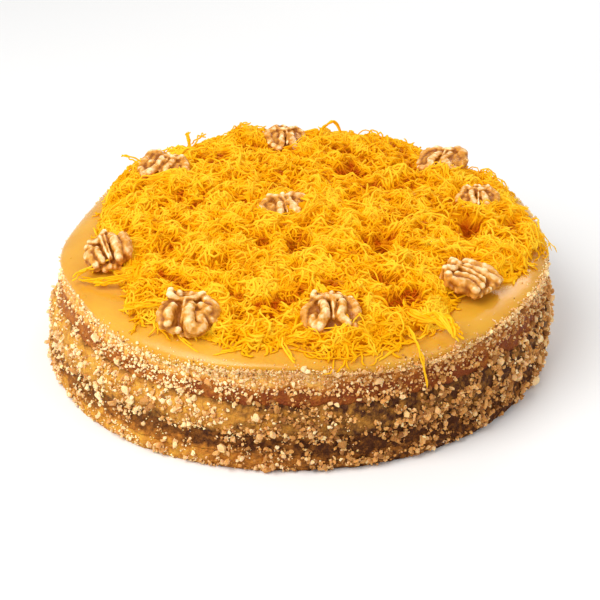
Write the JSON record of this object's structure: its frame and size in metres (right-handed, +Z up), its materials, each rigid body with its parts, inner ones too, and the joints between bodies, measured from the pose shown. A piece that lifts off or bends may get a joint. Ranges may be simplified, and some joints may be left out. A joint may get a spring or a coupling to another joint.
{
  "type": "walnut layer cake",
  "caption": "Round layer cake with a caramel egg glaze, a heap of egg threads and walnut halves on top, and chopped walnut round its side.",
  "frame": {"origin": "middle of the cake's underside", "axes": "+Z up, the picture's camera looks along +Y from above, +X to its right"},
  "size_m": [0.2611, 0.2646, 0.0767],
  "materials": {
    "base_sponge": "matte, moist crumb with chopped walnut",
    "lower_sponge": "matte, browned sponge edge",
    "egg_cream_filling": "matte, egg cream covered with chopped walnut",
    "upper_sponge": "matte, browned sponge edge",
    "egg_glaze": "smooth soft gloss",
    "egg_threads": "moist threads with a soft sheen",
    "walnut": "satin kernel skin"
  },
  "bodies": {
    "root": {"base_sponge": "base_sponge", "lower_sponge": "lower_sponge", "egg_cream_filling": "egg_cream_filling", "upper_sponge": "upper_sponge", "egg_glaze": "egg_glaze", "egg_threads": "egg_threads", "walnut_half_1": "walnut", "walnut_half_2": "walnut", "walnut_half_3": "walnut", "walnut_half_4": "walnut", "walnut_half_5": "walnut", "walnut_half_6": "walnut", "walnut_half_7": "walnut", "walnut_half_8": "walnut", "walnut_half_9": "walnut"}
  },
  "joints": []
}
